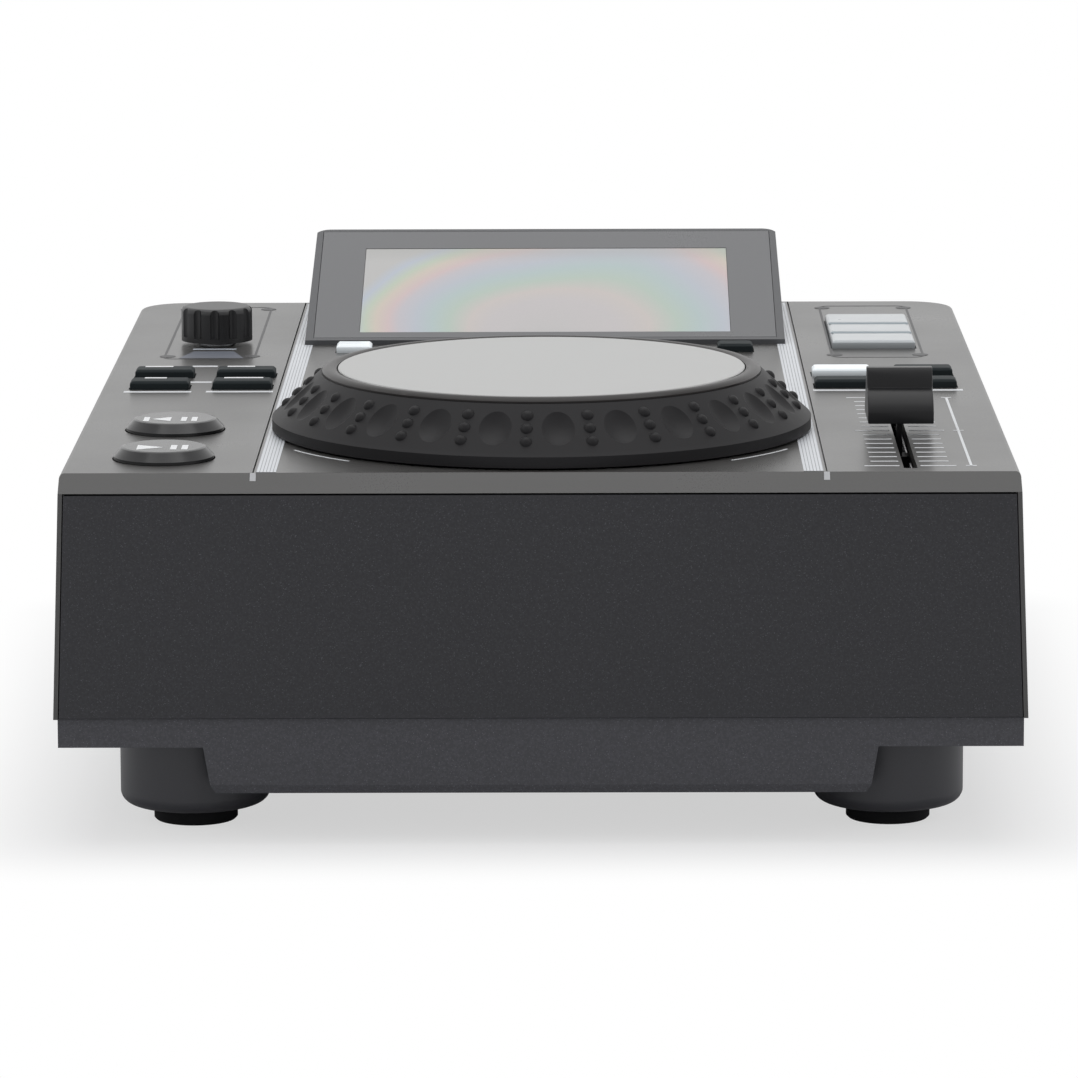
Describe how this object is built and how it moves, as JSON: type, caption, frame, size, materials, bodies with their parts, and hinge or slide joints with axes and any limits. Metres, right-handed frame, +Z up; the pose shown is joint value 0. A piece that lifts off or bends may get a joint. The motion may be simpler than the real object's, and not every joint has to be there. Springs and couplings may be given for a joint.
{
  "type": "tabletop deck player",
  "caption": "Tabletop deck player with a turning jog wheel, tilted screen pod, sliding pitch fader, select dial and push buttons on a low box housing with round feet.",
  "frame": {"origin": "middle of the footprint, on the surface that the foot pads stand on", "axes": "+Z up, front fascia faces -Y, +X to the right of a user at the front"},
  "size_m": [0.2162, 0.283, 0.1036],
  "materials": {
    "housing_grey": "satin moulded",
    "panel_grey": "satin printed sheet",
    "fascia_charcoal": "fine textured",
    "tray_charcoal": "fine textured",
    "foot_black": "smooth",
    "pad_rubber": "matte",
    "pod_grey": "semi-gloss",
    "display": "glossy pane",
    "jog_rubber": "matte moulded",
    "jog_trim": "glossy",
    "jog_plate": "fine matte",
    "black_gloss": "polished",
    "black_satin": "satin",
    "lit_white": "translucent",
    "inner_moulding": "matte",
    "steel": "turned",
    "bronze": "sintered",
    "board_green": "lacquered",
    "zinc_sheet": "plated sheet"
  },
  "bodies": {
    "housing": {"board_spacers": "bronze", "board_standoffs": "bronze", "bottom_tray": "tray_charcoal", "case_screws": "steel", "centre_panel": "panel_grey", "control_board": "board_green", "fader_frame": "zinc_sheet", "fader_guide_rods": "steel", "feet": "foot_black", "foot_pads": "pad_rubber", "front_fascia": "fascia_charcoal", "jog_bearing_housing": "inner_moulding", "jog_bushes": "bronze", "jog_sensor_board": "board_green", "lcd_bracket": "zinc_sheet", "lcd_module": "zinc_sheet", "main_board": "board_green", "output_jacks": "black_satin", "power_inlet": "black_satin", "power_switch_body": "black_gloss", "rear_connector_plate": "tray_charcoal", "screen_bezel": "pod_grey", "screen_glass": "display", "screen_pod": "pod_grey", "select_encoder_body": "zinc_sheet", "tact_switches": "black_satin", "top_cover": "housing_grey", "usb_device_socket": "zinc_sheet", "usb_media_socket": "zinc_sheet"},
    "jog_wheel": {"jog_ring": "jog_rubber", "jog_trim_ring": "jog_trim", "jog_touch_plate": "jog_plate", "jog_hub": "inner_moulding", "jog_shaft": "steel", "jog_retaining_clip": "steel", "jog_encoder_disc": "inner_moulding"},
    "pitch_fader": {"fader_carriage": "inner_moulding", "fader_cap": "black_satin"},
    "select_push_stem": {"select_plunger": "steel"},
    "select_dial": {"select_shaft": "steel", "select_knob": "black_satin"},
    "power_rocker_body": {"power_rocker": "black_satin"},
    "cue_button_body": {"cue_button": "black_gloss"},
    "deck_button_1_body": {"deck_button_1": "lit_white"},
    "deck_button_2_body": {"deck_button_2": "black_gloss"},
    "deck_button_3_body": {"deck_button_3": "black_gloss"},
    "deck_button_4_body": {"deck_button_4": "black_gloss"},
    "deck_button_5_body": {"deck_button_5": "black_gloss"},
    "left_pad_front_inner_body": {"left_pad_front_inner": "black_gloss"},
    "left_pad_front_outer_body": {"left_pad_front_outer": "black_gloss"},
    "left_pad_rear_inner_body": {"left_pad_rear_inner": "black_gloss"},
    "left_pad_rear_outer_body": {"left_pad_rear_outer": "black_gloss"},
    "mode_button_1_body": {"mode_button_1": "lit_white"},
    "mode_button_2_body": {"mode_button_2": "lit_white"},
    "mode_button_3_body": {"mode_button_3": "lit_white"},
    "play_button_body": {"play_button": "black_gloss"},
    "right_pad_front_inner_body": {"right_pad_front_inner": "black_gloss"},
    "right_pad_front_outer_body": {"right_pad_front_outer": "black_gloss"},
    "right_pad_rear_inner_body": {"right_pad_rear_inner": "lit_white"},
    "right_pad_rear_outer_body": {"right_pad_rear_outer": "black_gloss"}
  },
  "joints": [
    {"name": "jog_spin", "type": "hinge", "parent": "housing", "child": "jog_wheel", "pos_m": [0, -0.0735, 0.084], "axis": [0, 0, 1], "continuous": true},
    {"name": "pitch_slide", "type": "slide", "parent": "housing", "child": "pitch_fader", "axis": [0, 1, 0], "range_m": [-0.0495, 0.0495]},
    {"name": "select_press", "type": "slide", "parent": "housing", "child": "select_push_stem", "axis": [0, 0, -1], "range_m": [0, 0.0005], "stiffness_N_per_m": 1500, "springref_m": -0.0004},
    {"name": "select_turn", "type": "hinge", "parent": "select_push_stem", "child": "select_dial", "pos_m": [-0.0826, 0.0628, 0.084], "axis": [0, 0, 1], "continuous": true},
    {"name": "power_rock", "type": "hinge", "parent": "housing", "child": "power_rocker_body", "pos_m": [0.07, 0.1279, 0.052], "axis": [1, 0, 0], "range_deg": [-18, 0]},
    {"name": "cue_press", "type": "slide", "parent": "housing", "child": "cue_button_body", "axis": [0, 0, -1], "range_m": [0, 0.0008], "stiffness_N_per_m": 600, "springref_m": -0.0006},
    {"name": "deck_button_1_press", "type": "slide", "parent": "housing", "child": "deck_button_1_body", "axis": [0, 0, -1], "range_m": [0, 0.0006], "stiffness_N_per_m": 500, "springref_m": -0.0006},
    {"name": "deck_button_2_press", "type": "slide", "parent": "housing", "child": "deck_button_2_body", "axis": [0, 0, -1], "range_m": [0, 0.0006], "stiffness_N_per_m": 500, "springref_m": -0.0006},
    {"name": "deck_button_3_press", "type": "slide", "parent": "housing", "child": "deck_button_3_body", "axis": [0, 0, -1], "range_m": [0, 0.0006], "stiffness_N_per_m": 500, "springref_m": -0.0006},
    {"name": "deck_button_4_press", "type": "slide", "parent": "housing", "child": "deck_button_4_body", "axis": [0, 0, -1], "range_m": [0, 0.0006], "stiffness_N_per_m": 500, "springref_m": -0.0006},
    {"name": "deck_button_5_press", "type": "slide", "parent": "housing", "child": "deck_button_5_body", "axis": [0, 0, -1], "range_m": [0, 0.0006], "stiffness_N_per_m": 500, "springref_m": -0.0006},
    {"name": "left_pad_front_inner_press", "type": "slide", "parent": "housing", "child": "left_pad_front_inner_body", "axis": [0, 0, -1], "range_m": [0, 0.0006], "stiffness_N_per_m": 500, "springref_m": -0.0006},
    {"name": "left_pad_front_outer_press", "type": "slide", "parent": "housing", "child": "left_pad_front_outer_body", "axis": [0, 0, -1], "range_m": [0, 0.0006], "stiffness_N_per_m": 500, "springref_m": -0.0006},
    {"name": "left_pad_rear_inner_press", "type": "slide", "parent": "housing", "child": "left_pad_rear_inner_body", "axis": [0, 0, -1], "range_m": [0, 0.0006], "stiffness_N_per_m": 500, "springref_m": -0.0006},
    {"name": "left_pad_rear_outer_press", "type": "slide", "parent": "housing", "child": "left_pad_rear_outer_body", "axis": [0, 0, -1], "range_m": [0, 0.0006], "stiffness_N_per_m": 500, "springref_m": -0.0006},
    {"name": "mode_button_1_press", "type": "slide", "parent": "housing", "child": "mode_button_1_body", "axis": [0, 0, -1], "range_m": [0, 0.0006], "stiffness_N_per_m": 500, "springref_m": -0.0006},
    {"name": "mode_button_2_press", "type": "slide", "parent": "housing", "child": "mode_button_2_body", "axis": [0, 0, -1], "range_m": [0, 0.0006], "stiffness_N_per_m": 500, "springref_m": -0.0006},
    {"name": "mode_button_3_press", "type": "slide", "parent": "housing", "child": "mode_button_3_body", "axis": [0, 0, -1], "range_m": [0, 0.0006], "stiffness_N_per_m": 500, "springref_m": -0.0006},
    {"name": "play_press", "type": "slide", "parent": "housing", "child": "play_button_body", "axis": [0, 0, -1], "range_m": [0, 0.0008], "stiffness_N_per_m": 600, "springref_m": -0.0006},
    {"name": "right_pad_front_inner_press", "type": "slide", "parent": "housing", "child": "right_pad_front_inner_body", "axis": [0, 0, -1], "range_m": [0, 0.0006], "stiffness_N_per_m": 500, "springref_m": -0.0006},
    {"name": "right_pad_front_outer_press", "type": "slide", "parent": "housing", "child": "right_pad_front_outer_body", "axis": [0, 0, -1], "range_m": [0, 0.0006], "stiffness_N_per_m": 500, "springref_m": -0.0006},
    {"name": "right_pad_rear_inner_press", "type": "slide", "parent": "housing", "child": "right_pad_rear_inner_body", "axis": [0, 0, -1], "range_m": [0, 0.0006], "stiffness_N_per_m": 500, "springref_m": -0.0006},
    {"name": "right_pad_rear_outer_press", "type": "slide", "parent": "housing", "child": "right_pad_rear_outer_body", "axis": [0, 0, -1], "range_m": [0, 0.0006], "stiffness_N_per_m": 500, "springref_m": -0.0006}
  ]
}
